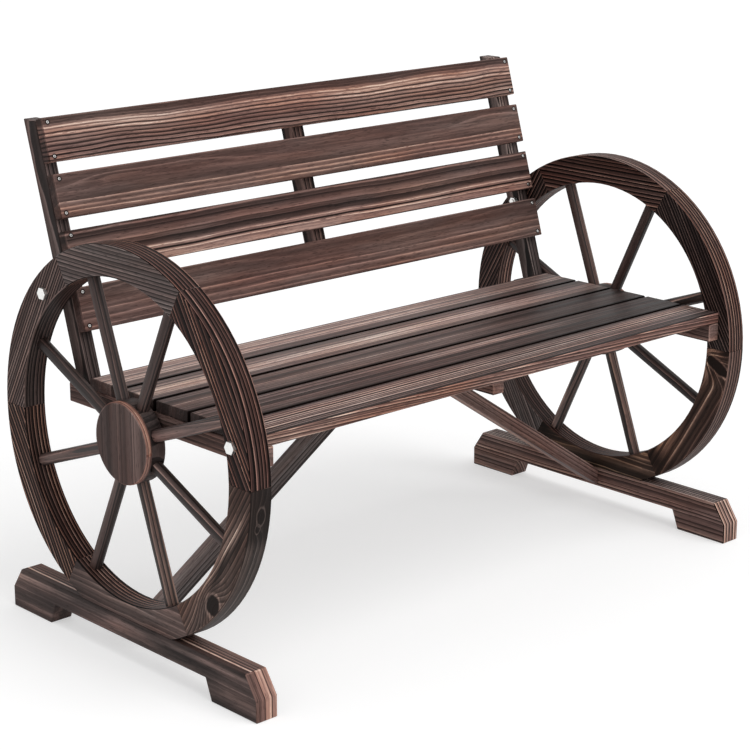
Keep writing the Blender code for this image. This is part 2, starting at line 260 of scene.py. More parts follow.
def board_fields(tree):
    """What the mesh says of a point: its place in the board, and whether it is on a worn edge or an end."""
    place = put(tree, "Attribute", attribute_name="grain").outputs["Vector"]
    axes = put(tree, "SeparateXYZ", {0: place}).outputs
    return SimpleNamespace(
        place=place,
        along=axes[0],
        across=axes[1],
        through=axes[2],
        seed=put(tree, "Attribute", attribute_type="OBJECT", attribute_name="grain_seed").outputs["Fac"],
        width=put(tree, "Attribute", attribute_type="OBJECT", attribute_name="grain_width").outputs["Fac"],
        worn=put(tree, "Attribute", attribute_name="worn").outputs["Fac"],
        end=put(tree, "Attribute", attribute_name="end").outputs["Fac"],
    )


def wave_field(tree, board, size):
    """How far the grain sways across the board."""
    slow = noise(tree, board, SLOW_SWAY, 1.0)
    quick = noise(tree, board, QUICK_SWAY, 1.0)
    both = calc(tree, "MULTIPLY_ADD", quick, 0.25, slow)
    return times(tree, calc(tree, "SUBTRACT", both, 0.625), size)


def knot_fields(tree, board, knots):
    """Knots push the rings aside, and some have a dark heart inside a pale ring."""
    push = bulges = heart = halo = 0.0
    ragged = about(tree, noise(tree, board, RAGGED), 1.0, 0.3)
    for along, across, reach, radius, dark in knots:
        stretched = calc(tree, "DIVIDE", calc(tree, "SUBTRACT", board.along, along), reach)
        narrow = calc(tree, "DIVIDE", calc(tree, "SUBTRACT", board.across, across), radius)
        gap = length(tree, stretched, narrow)
        bulge = calc(tree, "EXPONENT", times(tree, gap, gap, -0.3))
        gap = times(tree, gap, ragged)
        push = add(tree, push, times(tree, bulge, 1.5 * radius))
        bulges = add(tree, bulges, bulge)
        heart = calc(tree, "MAXIMUM", heart, ease(tree, gap, 0.75, 1.0, dark, 0.0))
        near = ease(tree, gap, 0.85, 1.05)
        far = ease(tree, gap, 1.1, 1.35, dark, 0.0)
        halo = calc(tree, "MAXIMUM", halo, times(tree, near, far))
    return SimpleNamespace(push=push, bulges=bulges, heart=heart, halo=halo)


def ring_fields(tree, board, look, sway, push):
    """Growth rings round the pith line: their relief from dark to light, and a chance for each ring."""
    across = add(tree, board.across, sway, -look.pith[0])
    through = calc(tree, "MULTIPLY_ADD", sway, 0.5, add(tree, board.through, -look.pith[1]))
    through = calc(tree, "MULTIPLY_ADD", board.along, look.slope, through)
    reach = add(tree, length(tree, across, through), push)
    place = calc(tree, "MULTIPLY_ADD", reach, 60.0, board.seed)
    inputs = {"W": place, "Scale": 1.0, "Detail": 1.0}
    uneven = put(tree, "TexNoise", inputs, noise_dimensions="1D").outputs["Fac"]
    turns = calc(tree, "MULTIPLY_ADD", uneven, look.uneven, calc(tree, "DIVIDE", reach, look.pitch))
    part = calc(tree, "FRACT", turns)
    number = calc(tree, "MULTIPLY_ADD", board.seed, SEED_STEP, calc(tree, "FLOOR", turns))
    chance = put(tree, "TexWhiteNoise", {"W": number}, noise_dimensions="1D").outputs["Value"]
    dark = times(tree, ease(tree, part, 0.46, 0.8), ease(tree, part, 0.93, 1.0, 1.0, 0.0))
    light = ease(tree, part, 0.0, 0.3, 1.0, 0.0)
    crisp = calc(tree, "MULTIPLY_ADD", light, 0.6, times(tree, dark, -1.0))
    swell = calc(tree, "COSINE", times(tree, turns, 2 * math.pi))
    relief = mix(tree, look.soft, crisp, times(tree, swell, 0.6))
    return SimpleNamespace(relief=relief, chance=chance)


def screw_stain(tree, board, half):
    """Dark stain round the four screws of a slat, which lie alike at its corners."""
    beside = calc(tree, "SUBTRACT", calc(tree, "ABSOLUTE", board.along), half[0])
    above = calc(tree, "SUBTRACT", calc(tree, "ABSOLUTE", board.across), half[1])
    return ease(tree, length(tree, beside, above), *STAIN_REACH, 1.0, 0.0)


def flare_field(tree, board, share, flares):
    """Pale or dark streaks of limited length along the grain."""
    total = 1.0
    for along, place, reach, width, gain in flares:
        beside = calc(tree, "DIVIDE", calc(tree, "SUBTRACT", board.along, along), reach)
        above = calc(tree, "DIVIDE", calc(tree, "SUBTRACT", share, place), width)
        gap = calc(tree, "MULTIPLY_ADD", beside, beside, times(tree, above, above))
        total = calc(tree, "MULTIPLY_ADD", calc(tree, "EXPONENT", times(tree, gap, -1.0)), gain, total)
    return total


def stripe_field(tree, board, share, stripes):
    """Even dark lines along the grain, each with a strength of its own."""
    first, pitch, count, width, depth = stripes
    turns = calc(tree, "DIVIDE", calc(tree, "SUBTRACT", share, first), pitch)
    nearest = calc(tree, "ROUND", turns)
    gap = times(tree, calc(tree, "ABSOLUTE", calc(tree, "SUBTRACT", turns, nearest)), pitch)
    number = calc(tree, "MULTIPLY_ADD", board.seed, SEED_STEP, nearest)
    chance = put(tree, "TexWhiteNoise", {"W": number}, noise_dimensions="1D").outputs["Value"]
    past_first = calc(tree, "GREATER_THAN", nearest, -0.5)
    counted = times(tree, past_first, calc(tree, "LESS_THAN", nearest, count - 0.5))
    line = times(tree, ease(tree, gap, 0.4 * width, width, 1.0, 0.0), counted)
    return calc(tree, "SUBTRACT", 1.0, times(tree, line, about(tree, chance, depth, 0.12)))


def charred_and_gap_shaded_edges(tree, board, reach):
    """Darkening along the two long edges of a board, each with its own reach, but not on its ends: partly
    charring, partly painted shade of the gaps between boards.
    """
    half = times(tree, board.width, 0.5)
    low = ease(tree, add(tree, half, board.across), 0.5 * reach[0], reach[0], CHAR_AND_GAP_SHADE_TONE, 1.0)
    above = calc(tree, "SUBTRACT", half, board.across)
    high = ease(tree, above, 0.5 * reach[1], reach[1], CHAR_AND_GAP_SHADE_TONE, 1.0)
    return calc(tree, "MAXIMUM", calc(tree, "MINIMUM", low, high), board.end)


def wood_tone(tree, board, look, texture):
    """Tone of the wood: bands across the board, times rings, patches, streaks, fibres and pores."""
    sway = wave_field(tree, board, look.wave)
    knot = knot_fields(tree, board, look.knots) if look.knots else None
    ring = ring_fields(tree, board, look, sway, knot.push if knot else 0.0)
    share = add(tree, calc(tree, "DIVIDE", add(tree, board.across, sway), board.width), 0.5)
    bands = ramp(tree, share, [(place, (tone, tone, tone, 1.0)) for place, tone in look.bands])
    if look.stripes:
        bands = times(tree, bands, stripe_field(tree, board, share, look.stripes))
    strength = times(tree, about(tree, ring.chance, 0.78, 0.22), look.lines)
    if look.fade:
        shown = calc(tree, "MAXIMUM", ease(tree, share, look.fade[0], look.fade[1], 1.0, 0.1), board.end)
        strength = times(tree, strength, add(tree, shown, times(tree, knot.bulges, 0.6)) if knot else shown)
    strength = times(tree, strength, calc(tree, "MULTIPLY_ADD", board.end, look.end_lines - 1.0, 1.0))
    lined = calc(tree, "MULTIPLY_ADD", strength, ring.relief, 1.0)
    spots = times(tree, about(tree, texture.patch, 1.0, look.drift), about(tree, ring.chance, 1.0, 0.16))
    spots = times(tree, spots, about(tree, texture.cloud, 1.0, look.blotch)) if look.blotch else spots
    streaks = about(tree, texture.streak, 1.0, 0.34 * look.grain)
    grain = times(tree, streaks, about(tree, texture.fibre, 1.0, 0.26 * look.grain))
    pores = ease(tree, noise(tree, board, PORES, 1.0), 0.58, 0.7, 1.0, 0.7)
    tone = times(tree, bands, spots, grain, lined, pores)
    tone = times(tree, tone, calc(tree, "MULTIPLY_ADD", board.end, look.ends - 1.0, 1.0))
    if look.flares:
        tone = times(tree, tone, flare_field(tree, board, share, look.flares))
    if look.dusk:
        tone = times(tree, tone, ease(tree, board.along, look.dusk[0], look.dusk[1], 1.0, look.dusk[2]))
    wear = times(tree, board.worn, ease(tree, texture.cloud, 0.4, 0.6))
    tone = calc(tree, "MULTIPLY_ADD", wear, look.wear, tone)
    # Painted shade of the gaps between boards, together with charring, along the long edges
    if look.burnt:
        tone = times(tree, tone, charred_and_gap_shaded_edges(tree, board, look.burnt))
    if knot:
        tone = mix(tree, knot.heart, tone, HEART_TONE)
        tone = calc(tree, "MULTIPLY_ADD", knot.halo, 0.2, tone)
    if look.screws:
        tone = mix(tree, screw_stain(tree, board, look.screws), tone, STAIN_TONE)
    return tone, ring.relief


def charred(name, **changes):
    """Charred and brushed fir."""
    look = SimpleNamespace(**{**PLAIN_LOOK, **changes})
    material = bpy.data.materials.new(name)
    material.use_nodes = True
    tree = material.node_tree
    shader = tree.nodes["Principled BSDF"]
    board = board_fields(tree)
    texture = SimpleNamespace(
        patch=noise(tree, board, PATCHES),
        cloud=noise(tree, board, CLOUDS),
        streak=noise(tree, board, STREAKS),
        fibre=noise(tree, board, FIBRES),
    )
    tone, relief = wood_tone(tree, board, look, texture)

    # Grey where it is charred, bronze where the amber shows
    colour = ramp(tree, tone, TONES)
    saturation = calc(tree, "MAXIMUM", about(tree, texture.cloud, 1.0 - look.ash, -0.35), 0.05)
    hue = calc(tree, "MULTIPLY_ADD", texture.patch, 0.03 + look.amber, 0.485)
    colour = put(tree, "HueSaturation", {"Hue": hue, "Saturation": saturation, "Color": colour}).outputs[0]

    rough = calc(tree, "MULTIPLY_ADD", texture.fibre, 0.2, calc(tree, "MULTIPLY_ADD", relief, 0.08, 0.4))
    height = calc(tree, "MULTIPLY_ADD", texture.fibre, 0.35, times(tree, relief, -0.7))
    bump = put(tree, "Bump", {"Height": height, "Strength": 0.45, "Distance": 0.0005})
    join(tree, colour, shader.inputs["Base Color"])
    join(tree, rough, shader.inputs["Roughness"])
    join(tree, bump.outputs["Normal"], shader.inputs["Normal"])
    shader.inputs["Specular IOR Level"].default_value = look.gloss
    return material


# Zinc
def zinc(name, dull, bright):
    """Zinc plate with a fine spangle between two tints."""
    material = bpy.data.materials.new(name)
    material.use_nodes = True
    tree = material.node_tree
    shader = tree.nodes["Principled BSDF"]
    place = put(tree, "TexCoord").outputs["Object"]
    spangle = put(tree, "TexNoise", {"Vector": place, "Scale": 420.0, "Detail": 3.0}).outputs["Fac"]
    bump = put(tree, "Bump", {"Height": spangle, "Strength": 0.1, "Distance": 0.0002})
    join(tree, blend(tree, spangle, dull, bright), shader.inputs["Base Color"])
    join(tree, ease(tree, spangle, 0.3, 0.7, 0.26, 0.42), shader.inputs["Roughness"])
    join(tree, bump.outputs["Normal"], shader.inputs["Normal"])
    shader.inputs["Metallic"].default_value = 1.0
    return material


# Timber pieces
def timber_form(node, shape=None):
    """The CAD node's form, shaped further if need be, with its flat faces made whole."""
    form = bmesh.new()
    form.from_mesh(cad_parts[node].data)
    bmesh.ops.remove_doubles(form, verts=form.verts, dist=WELD)
    if shape:
        shape(form)
    bmesh.ops.dissolve_limit(form, angle_limit=FLAT_ANGLE, verts=form.verts, edges=form.edges)
    return form


def longest_edge(form):
    """The upward direction of the longest edge."""
    edge = max(form.edges, key=lambda e: e.calc_length())
    way = (edge.verts[1].co - edge.verts[0].co).normalized()
    return way if way.z > 0 else -way


def board_frame(form, along, across):
    """The frame of a board, x along the grain, y across it and z through it, and its half sizes."""
    along = along.normalized()
    through = along.cross(across).normalized()
    across = through.cross(along)
    turn = Matrix((along, across, through)).transposed()
    local = [turn.transposed() @ vert.co for vert in form.verts]
    low = Vector([min(point[i] for point in local) for i in range(3)])
    high = Vector([max(point[i] for point in local) for i in range(3)])
    matrix = Matrix.Translation(turn @ ((low + high) / 2)) @ turn.to_4x4()
    return matrix, (high - low) / 2


def ease_edges(form):
    """Rounds the long sharp edges, and marks the narrow faces along the edges as worn."""
    sharp = [
        edge
        for edge in form.edges
        if len(edge.link_faces) == 2
        and edge.calc_face_angle() > SHARP_ANGLE
        and edge.calc_length() > SHORT_EDGE
    ]
    bmesh.ops.bevel(
        form, geom=sharp, offset=ROUNDING, segments=2, profile=0.5, affect="EDGES", clamp_overlap=True)
    bmesh.ops.remove_doubles(form, verts=form.verts, dist=WELD)
    worn = form.faces.layers.float.new("worn")
    for face in form.faces:
        longest = max(edge.calc_length() for edge in face.edges)
        face[worn] = float(face.calc_area() < WORN_WIDTH * longest and longest > 3 * WORN_WIDTH)
        face.smooth = True


def add_piece(name, form, materials):
    """A mesh object at the origin that rides on the bench."""
    mesh = bpy.data.meshes.new(name)
    form.to_mesh(mesh)
    form.free()
    piece = bpy.data.objects.new(name, mesh)
    bpy.context.collection.objects.link(piece)
    for material in materials:
        mesh.materials.append(material)
    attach(piece, "root")
    return piece


def dress(node, material, across, along=None, seed=0.0, others=(), shape=None):
    """A wooden piece that stands for the CAD node, with its grain along the board.

    Each of the others is a material, a test for the faces that take it, and a grain of its own or None.
    """
    form = timber_form(node, shape)
    along = along or longest_edge(form)
    matrix, half = board_frame(form, along, across)
    to_board = matrix.inverted()
    ease_edges(form)
    grain = form.loops.layers.float_vector.new("grain")
    end = form.faces.layers.float.new("end")
    looks = [(material, None, None), *others]
    for face in form.faces:
        face[end] = float(abs(face.normal.dot(along.normalized())) > 0.5)
        face.material_index = next((i for i, other in enumerate(others, 1) if other[1](face)), 0)
        own_grain = looks[face.material_index][2]
        for loop in face.loops:
            loop[grain] = own_grain(loop.vert.co) if own_grain else to_board @ loop.vert.co
    piece = add_piece(node + "_timber", form, [look[0] for look in looks])
    piece["grain_seed"] = seed
    piece["grain_width"] = 2 * half.y
    piece.modifiers.new("flat_faces", "WEIGHTED_NORMAL").keep_sharp = True
    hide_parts(node)
    return matrix, half


# Wheels
def rim_direction(degrees):
    """Outward from the wheel's axis, at an angle from the rear towards the top."""
    turn = math.radians(degrees)
    return Vector((0, math.cos(turn), math.sin(turn)))


def is_curved(face):
    """Whether a face looks away from the wheel's axis or towards it."""
    middle = face.calc_center_median()
    outward = Vector((0, middle.y, middle.z - WHEEL_AXIS_Z)).normalized()
    return abs(face.normal.dot(outward)) > 0.6


def round_grain(middle, sign):
    """The grain of the tread: along the arc, across the rim's thickness, and in from its middle line."""
    def place(point):
        radius = math.hypot(point.y, point.z - WHEEL_AXIS_Z)
        turn = math.remainder(math.atan2(point.z - WHEEL_AXIS_Z, point.y) - math.radians(middle), 2 * math.pi)
        return Vector((turn * radius, point.x - sign * RIM_MIDDLE_X, radius - RIM_MIDDLE_RADIUS))
    return place


def stand_flat(form):
    """Cuts a bottom felloe level with the top of its foot."""
    cut = bmesh.ops.bisect_plane(
        form, geom=form.verts[:] + form.edges[:] + form.faces[:],
        plane_co=(0, 0, FOOT_TOP + STANDING_GAP), plane_no=UP, clear_inner=True)
    edges = [item for item in cut["geom_cut"] if isinstance(item, bmesh.types.BMEdge)]
    bmesh.ops.holes_fill(form, edges=edges)


# The kinds of board that the felloes are cut from, and the looks of their curved sides
RIM_LOOKS = {
    "mauve": dict(pitch=0.005, wave=0.005, lines=1.4, ash=0.3, bands=((0.0, 0.347), (1.0, 0.389))),
    "grey": dict(pitch=0.0055, wave=0.005, lines=0.65, ash=0.5, bands=((0.0, 0.428), (1.0, 0.439))),
    "brown": dict(pitch=0.0076, wave=0.006, lines=3.2, ash=0.0, bands=((0.0, 0.278), (1.0, 0.268))),
    "fine": dict(pitch=0.007, wave=0.005, lines=3.8, ash=0.0, bands=((0.0, 0.233), (1.0, 0.233))),
    "plain": dict(
        pitch=0.0042, pith=(-0.1, -0.2), uneven=1.8, lines=0.42, soft=0.4, ash=0.35, dusk=(0.02, 0.14, 0.8),
        drift=0.5, bands=((0.0, 0.433), (1.0, 0.402))),
    "red": dict(pitch=0.007, wave=0.006, lines=1.8, ash=0.0, bands=((0.0, 0.38), (1.0, 0.34))),
    "dusky": dict(pitch=0.0066, wave=0.005, lines=2.8, ash=0.1, bands=((0.0, 0.246), (1.0, 0.268))),
    "black": dict(pitch=0.0055, wave=0.005, lines=3.4, ash=0.25, bands=((0.0, 0.19), (1.0, 0.2))),
    "amber": dict(
        pitch=0.015, uneven=1.8, wave=0.02, lines=1.4, soft=0.5, ash=0.0, amber=0.05, drift=0.8,
        bands=((0.0, 0.37), (0.5, 0.4), (1.0, 0.3)),
        flares=((0.11, 0.2, 0.03, 0.4, 0.7), (0.03, 0.15, 0.06, 0.15, -0.8),
                (-0.12, 0.15, 0.025, 0.4, -0.85))),
    "low_knot": dict(
        pitch=0.0062, pith=(-0.09, -0.03), slope=0.08, wave=0.014, lines=0.65, soft=0.2, ash=0.2, amber=0.015,
        drift=0.6, dusk=(-0.06, -0.12, 0.75), bands=((0.0, 0.46), (0.5, 0.42), (1.0, 0.38)),
        knots=((0.06, 0.0205, 0.018, 0.014, 1.0),),
        flares=((-0.08, 0.6, 0.035, 0.06, 0.5), (-0.03, 0.51, 0.035, 0.06, 0.5),
                (0.02, 0.42, 0.035, 0.06, 0.5), (-0.06, 0.72, 0.04, 0.07, -0.6),
                (0.0, 0.61, 0.04, 0.07, -0.6))),
    "high_knot": dict(
        pitch=0.019, pith=(-0.2, -0.06), uneven=1.6, wave=0.024, lines=1.3, soft=0.5, ash=0.0, amber=0.02,
        dusk=(0.125, 0.14, 0.4), drift=0.8, bands=((0.0, 0.5), (0.6, 0.52), (1.0, 0.43)),
        knots=((0.109, -0.004, 0.011, 0.03, 1.0),),
        flares=((-0.125, 0.3, 0.03, 0.5, -0.75), (0.02, 0.45, 0.08, 0.1, -0.6))),
    "tread": dict(pitch=0.0068, wave=0.006, lines=1.6, ash=0.15, bands=((0.0, 0.414), (1.0, 0.437))),
    "bore": dict(pitch=0.0064, wave=0.005, lines=3.0, ash=0.0, bands=((0.0, 0.26), (1.0, 0.25))),
    "band": dict(pitch=0.0066, wave=0.006, lines=2.8, ash=0.05, bands=((0.0, 0.319), (1.0, 0.33))),
    "shade": dict(pitch=0.006, wave=0.005, lines=1.2, ash=0.3, bands=((0.0, 0.278), (1.0, 0.3))),
    "knot_tread": dict(
        pitch=0.009, slope=0.03, wave=0.012, lines=0.7, soft=0.3, ash=0.45, amber=0.02,
        dusk=(-0.055, -0.085, 0.55), bands=((0.0, 0.37), (1.0, 0.36)),
        knots=((-0.112, 0.001, 0.013, 0.007, 0.9), (-0.094, -0.003, 0.007, 0.004, 0.9))),
}
FELLOE_WOODS = {
    "left": ("mauve", "grey", "brown", "low_knot", "plain", "fine"),
    "right": ("dusky", "red", "black", "high_knot", "amber", "grey"),
}
CURVED_WOODS = {
    "left": ("shade", "bore", "band", "knot_tread", "band", "bore"),
    "right": ("tread", "tread", "bore", "tread", "bore", "shade"),
}
# Spokes whose wood carries a painted highlight down the middle
PAINTED_HIGHLIGHT_SPOKES = ("left_spoke_6", "right_spoke_2", "right_spoke_6")


def dress_wheels():
    woods = {name: charred("rim_" + name, **{"uneven": 0.7, **look}) for name, look in RIM_LOOKS.items()}
    # Painted highlight: a pale band down the middle of these spokes stands in for a gloss streak.
    painted_highlight_spoke = charred(
        "pale_spoke_wood", pitch=0.006, lines=1.0, ash=0.1, amber=0.01, drift=0.6, gloss=0.3,
        bands=((0.0, 0.34), (0.1, 0.46), (0.3, 0.42), (0.5, 0.62), (0.7, 0.42), (0.9, 0.46), (1.0, 0.34)))
    # Bands across each spoke are painted light on the round: the pale lines near both sides are painted
    # highlight streaks, and the darker middle is painted shade.
    spoke = charred(
        "spoke_wood", pitch=0.006, lines=0.9, ash=0.2, drift=0.6, gloss=0.3,
        bands=((0.0, 0.34), (0.06, 0.4), (0.08, 0.56), (0.1, 0.56), (0.13, 0.4), (0.26, 0.28), (0.5, 0.2),
               (0.74, 0.28), (0.87, 0.4), (0.9, 0.56), (0.92, 0.56), (0.94, 0.4), (1.0, 0.34)))
    drum = charred("drum_wood", pitch=0.006, lines=0.4, ash=0.4, bands=((0.0, 0.27), (1.0, 0.27)))
    face = charred(
        "hub_wood", pitch=0.016, wave=0.003, lines=0.3, ash=0.3, drift=0.15, grain=0.5,
        bands=((0.0, 0.32), (0.3, 0.36), (0.4, 0.53), (0.52, 0.38), (0.68, 0.48), (1.0, 0.37)))
    edge = charred("hub_edge", pitch=0.004, lines=0.4, ash=0.0, bands=((0.0, 0.72), (1.0, 0.72)))
    for side, sign in SIDES.items():
        for k in range(FELLOES):
            middle = FELLOE_SPAN * (k + 0.5)
            wood, curve = woods[FELLOE_WOODS[side][k]], woods[CURVED_WOODS[side][k]]
            along = rim_direction(middle + 90) * -sign
            shape = stand_flat if k == BOTTOM_FELLOE else None
            curved = (curve, is_curved, round_grain(middle, sign))
            dress(
                f"{side}_felloe_{k + 1}", wood, rim_direction(middle), along,
                3.1 * k + 7 * sign, [curved], shape)
        for k in range(SPOKES):
            angle = FIRST_SPOKE + SPOKE_SPAN * k
            node = f"{side}_spoke_{k + 1}"
            wood = painted_highlight_spoke if node in PAINTED_HIGHLIGHT_SPOKES else spoke
            dress(node, wood, RIGHT, rim_direction(angle), 40 + 2.3 * k + sign)
        dress(f"{side}_hub_drum", drum, REAR * sign, UP, 71 + sign)
        rounded = (edge, is_curved, round_grain(0.0, sign))
        dress(f"{side}_hub_cover", face, REAR * sign, UP, 75 + sign, [rounded])


# Feet, rails, posts and braces
def is_tip(face):
    """Whether a face is at the front or rear end of a foot, above its arch."""
    return face.normal.y * face.calc_center_median().y > 0.1


def is_top(face):
    return face.normal.z > 0.9


def tip_grain(sign):
    """The grain of a foot's ends: upwards, and across from the inner side to the outer."""
    return lambda point: Vector((point.z, sign * point.x - RIM_MIDDLE_X, 0))


def top_grain(sign):
    """The grain of a foot's top: backwards, and across from the inner side to the outer."""
    return lambda point: Vector((point.y, sign * point.x - RIM_MIDDLE_X, 0))


def fill_saddle(form):
    """Lifts the saddle of a foot to the level of its top."""
    for vert in form.verts:
        depth = math.hypot(vert.co.y, vert.co.z - WHEEL_AXIS_Z) - WHEEL_RADIUS
        if depth < SADDLE_EDGE and vert.co.z < FOOT_TOP:
            vert.co.z = FOOT_TOP - max(depth - STANDING_GAP, 0)


def dress_frame():
    rail = charred(
        "rail_wood", pitch=0.007, lines=0.5, ash=0.15, ends=1.25, end_lines=0.4,
        bands=((0.0, 0.456), (1.0, 0.502)))
    # The posts darken towards their feet, behind the wheels: painted shadow of the wheels.
    post = charred(
        "post_wood", pitch=0.006, lines=0.8, ash=0.4, dusk=(0.0, -0.12, 0.75),
        bands=((0.0, 0.396), (0.1, 0.48), (1.0, 0.48)))
    batten = charred(
        "batten_wood", pitch=0.006, lines=1.1, ash=0.2, bands=((0.0, 0.34), (0.5, 0.44), (1.0, 0.32)))
    braces = {
        "left": charred(
            "left_brace_wood", pitch=0.009, pith=(-0.04, -0.25), lines=0.6, ash=0.6, drift=0.15,
            bands=((0.0, 0.483), (0.06, 0.525), (0.12, 0.756), (1.0, 0.693))),
        "right": charred(
            "right_brace_wood", pitch=0.008, pith=(-0.04, -0.25), lines=0.4, ash=0.15,
            bands=((0.0, 0.62), (0.3, 0.62), (1.0, 0.52))),
    }
    feet = {
        "left": charred(
            "left_foot_wood", pitch=0.012, wave=0.006, lines=0.3, soft=0.6, ash=0.4, drift=0.4, blotch=-1.2,
            end_lines=0.2, wear=0.0,
            bands=((0.0, 0.33), (0.5, 0.36), (0.76, 0.36), (0.81, 0.56), (0.88, 0.54), (0.93, 0.34),
                   (1.0, 0.36))),
        "right": charred(
            "right_foot_wood", pitch=0.0062, pith=(-0.16, -0.16), wave=0.006, lines=0.65, ash=0.2,
            bands=((0.0, 0.529), (0.8, 0.583), (1.0, 0.464))),
    }
    tips = {
        "left": charred(
            "left_tip_wood", pitch=0.014, wave=0.002, lines=0.12, ash=0.1, drift=0.2,
            stripes=(0.365, 0.19, 2, 0.022, 0.45),
            bands=((0.0, 0.87), (0.35, 0.8), (0.55, 0.66), (0.7, 0.4), (1.0, 0.38))),
        "right": charred(
            "right_tip_wood", pitch=0.0075, uneven=0.8, wave=0.003, lines=1.1, ash=0.1, drift=0.2,
            bands=((0.0, 0.62), (1.0, 0.69))),
    }
    tops = {
        "left": charred(
            "left_top_wood", pitch=0.009, wave=0.003, lines=0.6, fade=(0.56, 0.6), ash=0.15, wear=0.0,
            bands=((0.0, 0.2), (0.14, 0.22), (0.18, 0.54), (0.57, 0.5), (0.59, 0.95), (0.62, 0.95),
                   (0.64, 0.3), (1.0, 0.32))),
        "right": charred(
            "right_top_wood", pitch=0.0062, wave=0.004, lines=2.0, ash=0.35, wear=0.0,
            bands=((0.0, 0.16), (0.15, 0.16), (0.2, 0.44), (1.0, 0.46))),
    }
    for side, sign in SIDES.items():
        others = [(tips[side], is_tip, tip_grain(sign)), (tops[side], is_top, top_grain(sign))]
        dress(f"{side}_foot", feet[side], UP, REAR, 80 + sign, others, fill_saddle)
        dress(f"{side}_brace", braces[side], REAR, None, 84 + sign)
        dress(f"{side}_seat_rail", rail, UP, REAR, 90 + sign)
        dress(f"{side}_back_post", post, RIGHT, None, 96 + sign)
    dress("centre_seat_rail", rail, UP, REAR, 93.0)
    dress("centre_back_post", batten, RIGHT, None, 99.0)


# Seat
def is_front(face):
    return face.normal.y < -0.7


def is_rear(face):
    return face.normal.y > 0.7


def seat_boards():
    # The seat boards' dark long edges are partly charring and partly painted shade of the gaps between the
    # slats.
    common = dict(
        wave=0.004, ash=0.3, gloss=0.08, ends=0.52, end_lines=0.2, burnt=(0.0042, 0.003), wear=0.0)
    lined = (
        (0.0, 0.4), (0.29, 0.42), (0.31, 0.84), (0.35, 0.84), (0.37, 0.64), (0.8, 0.68), (1.0, 0.54))
    copper = ((0.0, 0.46), (0.2, 0.5), (0.28, 0.8), (0.6, 0.82), (0.72, 0.56), (1.0, 0.52))
    brown = ((0.0, 0.35), (0.3, 0.43), (0.42, 0.6), (0.5, 0.53), (0.6, 0.42), (1.0, 0.48))
    dark = ((0.0, 0.38), (0.5, 0.4), (0.8, 0.42), (1.0, 0.4))
    # Every seat board darkens towards its right end, beside the right wheel: painted shade.
    return (
        charred(
            "seat_front", pitch=0.007, lines=1.1, dusk=(-0.3, 0.15, 0.78), bands=shaded(lined, 1.06),
            flares=((0.38, 0.75, 0.12, 0.2, 0.25),), **common),
        charred(
            "seat_dark", pitch=0.009, lines=0.55, dusk=(0.0, 0.36, 0.6), bands=shaded(dark, 1.2),
            flares=((0.09, 0.67, 0.19, 0.06, 1.2), (-0.4, 0.3, 0.15, 0.06, 0.3)), **common),
        charred(
            "seat_brown", pitch=0.009, lines=0.5, dusk=(0.0, 0.36, 0.58),
            bands=shaded(brown, 1.08), **common),
        charred(
            "seat_copper", pitch=0.009, lines=0.45, drift=0.12, dusk=(0.2, 0.45, 0.74),
            bands=shaded(copper, 1.06), **common),
        charred(
            "seat_rear", pitch=0.009, lines=0.45, dusk=(0.0, 0.4, 0.75), bands=shaded(lined, 1.16), **common),
    )


def dress_seat():
    nose = charred(
        "seat_nose", pitch=0.0045, pith=(-0.037, -0.06), slope=0.04, wave=0.012, lines=0.8, soft=0.3,
        ash=0.05, bands=((0.0, 0.541), (1.0, 0.541)))
    # The slats' sides that face each other across the narrow gaps are near black: painted shade of the gaps.
    gap_shaded_flank = charred("seat_gap_shade", lines=0.5, gloss=0.0, wear=0.0, bands=((0.0, 0.02), (1.0, 0.02)))
    boards = seat_boards()
    for k, material in enumerate(boards):
        front = (nose if k == 0 else gap_shaded_flank, is_front, None)
        rear = (nose if k == len(boards) - 1 else gap_shaded_flank, is_rear, None)
        dress(f"seat_slat_{k + 1}", material, REAR, RIGHT, 110 + 2.9 * k, [front, rear])


# Back
def back_boards(screws):
    striped = charred(
        "back_striped", pitch=0.0062, wave=0.018, lines=0.35, soft=0.4, ash=0.1, ends=0.6, end_lines=0.2,
        screws=screws, stripes=(0.025, 0.1, 8, 0.028, 0.62),
        bands=((0.0, 0.7), (0.3, 0.6), (0.45, 0.66), (0.58, 0.9), (0.73, 0.95), (0.8, 0.6), (0.84, 0.36),
               (1.0, 0.35)))
    plain = charred(
        "back_plain", pitch=0.0085, pith=(0.06, -0.03), wave=0.01, lines=0.6, soft=0.6, fade=(0.42, 0.62),
        ash=0.12, ends=0.6, end_lines=0.2, screws=screws, drift=0.2,
        bands=((0.0, 0.462), (0.1, 0.525), (0.5, 0.504), (0.6, 0.473), (1.0, 0.452)),
        knots=((-0.4, 0.02, 0.04, 0.006, 0.0), (-0.25, 0.02, 0.07, 0.008, 0.0),
               (0.43, 0.02, 0.06, 0.007, 0.0)))
    banded = charred(
        "back_banded", pitch=0.011, wave=0.01, lines=0.6, soft=0.3, ash=0.15, ends=0.6, end_lines=0.2,
        screws=screws, drift=0.25, stripes=(0.25, 0.1, 1, 0.03, 0.7),
        bands=((0.0, 0.32), (0.04, 0.8), (0.3, 0.85), (0.4, 0.27), (0.54, 0.28), (0.64, 0.6), (0.74, 0.54),
               (0.8, 0.34), (0.9, 0.34), (0.94, 1.0), (0.98, 0.34), (1.0, 0.34)))
    return striped, plain, banded, plain


def post_lean():
    """The upward direction of the back."""
    form = timber_form("left_back_post")
    way = longest_edge(form)
    form.free()
    return way


